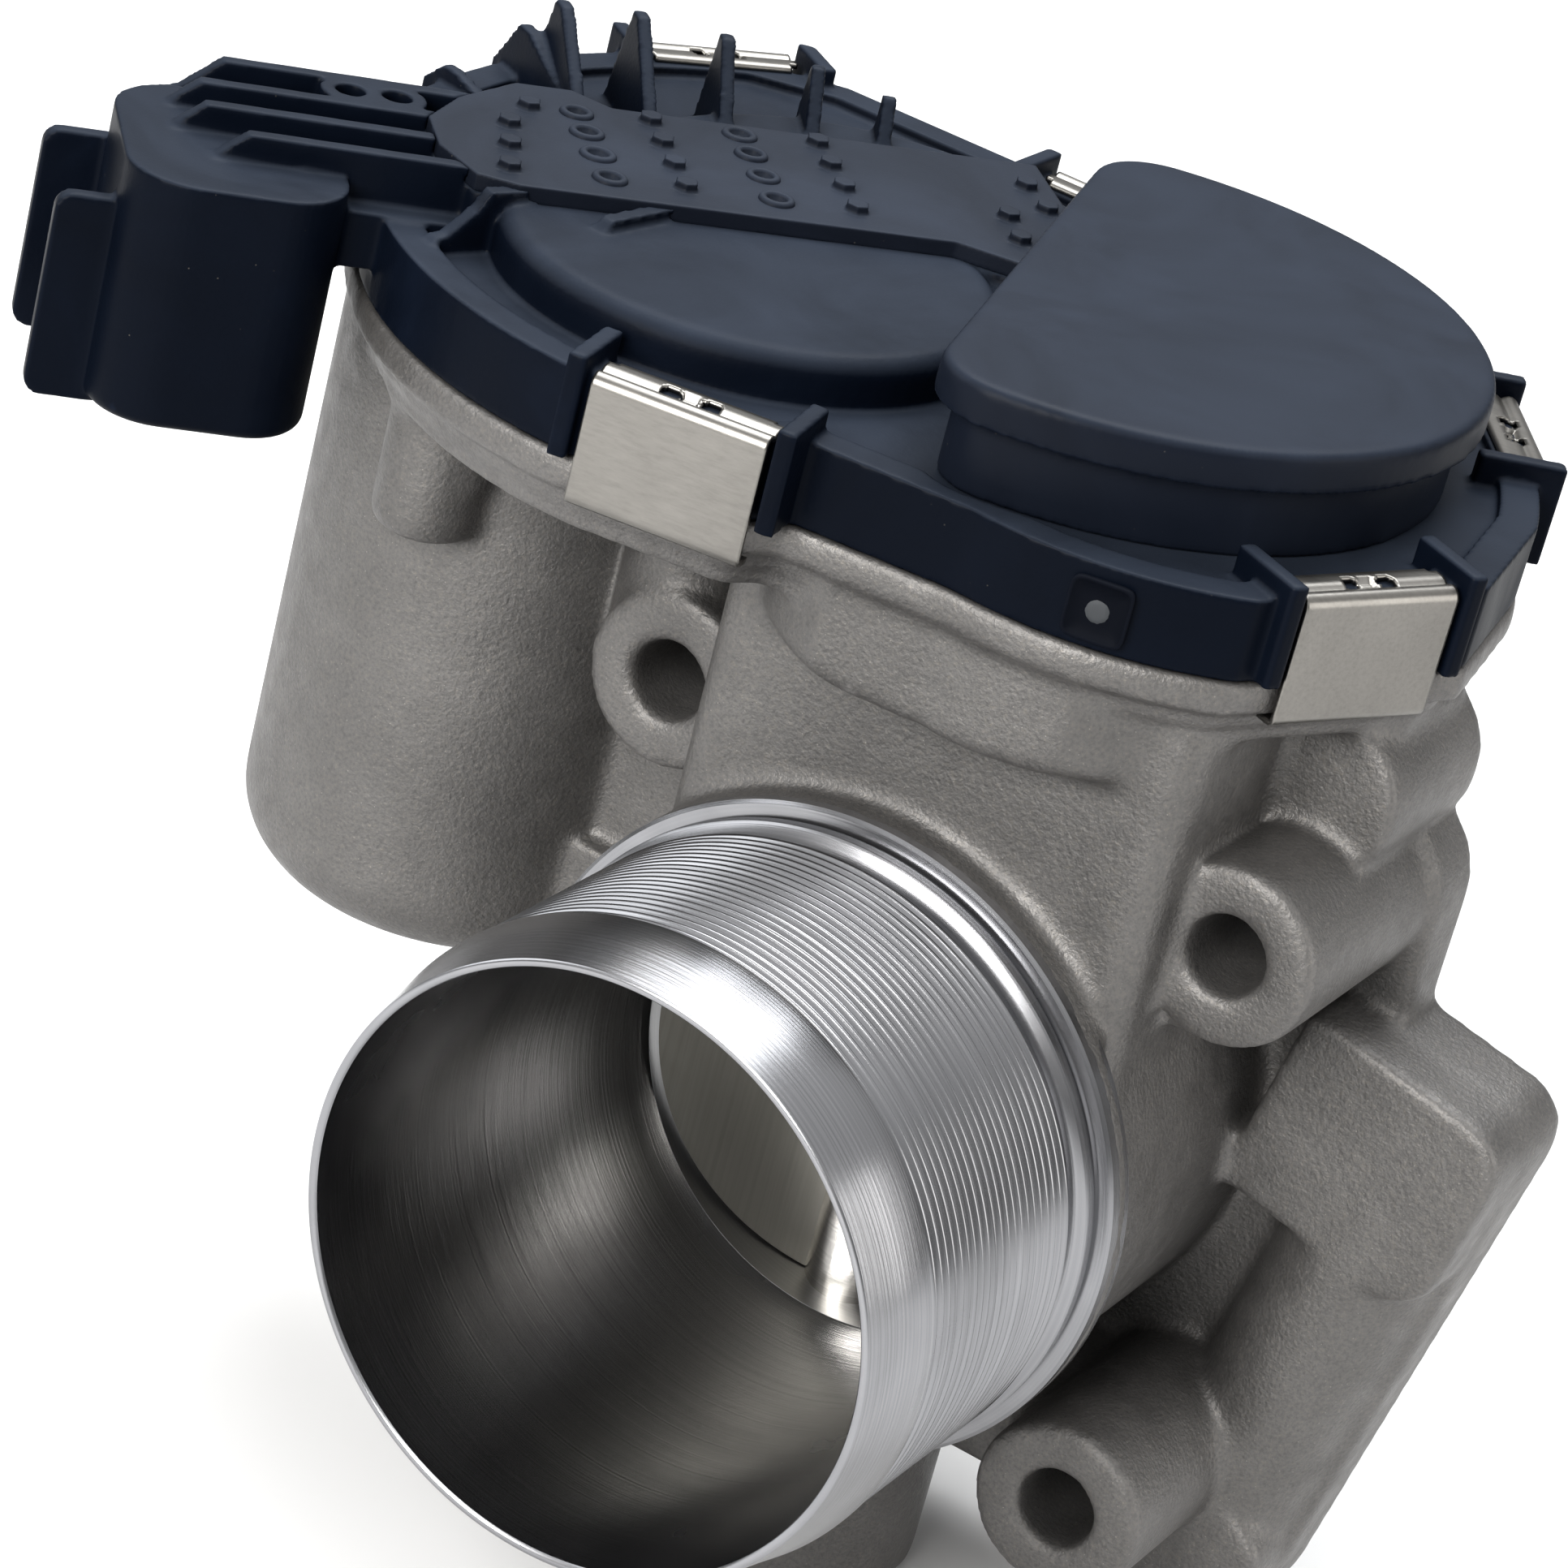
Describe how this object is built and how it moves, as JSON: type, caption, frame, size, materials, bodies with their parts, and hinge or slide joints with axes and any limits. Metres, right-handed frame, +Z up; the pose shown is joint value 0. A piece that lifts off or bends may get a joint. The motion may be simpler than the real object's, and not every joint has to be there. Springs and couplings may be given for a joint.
{
  "type": "throttle body",
  "caption": "Electronic throttle body with a cast aluminium bore, motor housing, plastic gear cover, connector and a turning throttle plate.",
  "frame": {"origin": "centre of the bore at the face that bolts to the engine, also the centre of the bolt pattern", "axes": "+X to the right seen from the air hose side, +Y along the bore into the engine, +Z up the throttle shaft to the gear cover"},
  "size_m": [0.1375, 0.1045, 0.1152],
  "materials": {
    "cast_aluminium": "matte, fine cast grain with machined spigot and bore",
    "black_plastic": "glass filled plastic, slightly bluish black, low sheen",
    "spring_steel": "bright stainless strip",
    "shaft_steel": "ground steel",
    "plate_brass": "brushed plate",
    "seal_rubber": "matte",
    "gear_plastic": "natural plastic",
    "magnet": "sintered",
    "copper": "enamelled copper",
    "brass": "turned brass",
    "core_steel": "laminated",
    "carbon": "matte",
    "board": "laminate"
  },
  "bodies": {
    "body": {"housing": "cast_aluminium", "gear_cover": "black_plastic", "lead_strip": "black_plastic", "sensor_cap": "black_plastic", "cover_seal": "seal_rubber", "cover_clips": "spring_steel", "upper_bearing": "shaft_steel", "lower_bearing": "shaft_steel", "shaft_seal": "seal_rubber", "bearing_plug": "shaft_steel", "idler_pin": "shaft_steel", "return_spring": "spring_steel", "spring_bush": "gear_plastic", "motor_case": "shaft_steel", "motor_magnets": "magnet", "motor_bushes": "brass", "motor_end_cap": "black_plastic", "brushes": "carbon", "brush_springs": "spring_steel", "motor_plate": "spring_steel", "motor_screws": "shaft_steel", "wave_spring": "spring_steel", "motor_terminals": "copper", "sensor_board": "board", "sensor_chip": "black_plastic", "sensor_pins": "copper", "flange_seal": "seal_rubber", "connector_pins": "copper"},
    "throttle": {"throttle_shaft": "shaft_steel", "throttle_plate": "plate_brass", "plate_screws": "shaft_steel", "sector_gear": "gear_plastic", "sensor_magnet": "magnet"},
    "idler": {"idler_gear": "gear_plastic"},
    "rotor": {"armature_core": "core_steel", "armature_winding": "copper", "commutator": "copper", "motor_shaft": "shaft_steel", "motor_pinion": "brass"}
  },
  "joints": [
    {"name": "throttle_turn", "type": "hinge", "parent": "body", "child": "throttle", "pos_m": [0, -0.021, 0], "axis": [0, 0, 1], "range_deg": [-15, 66], "stiffness_Nm_per_rad": 0.05},
    {"name": "idler_turn", "type": "hinge", "parent": "body", "child": "idler", "pos_m": [-0.02634, -0.0115, 0], "axis": [0, 0, 1], "range_deg": [-119.5, 27.5]},
    {"name": "motor_turn", "type": "hinge", "parent": "body", "child": "rotor", "pos_m": [-0.0521, -0.015, 0], "axis": [0, 0, 1], "range_deg": [-134, 585]}
  ],
  "couplings": [
    {"joint": "idler_turn", "follows": "throttle_turn", "ratio": -1.8},
    {"joint": "motor_turn", "follows": "throttle_turn", "ratio": 8.8364}
  ]
}
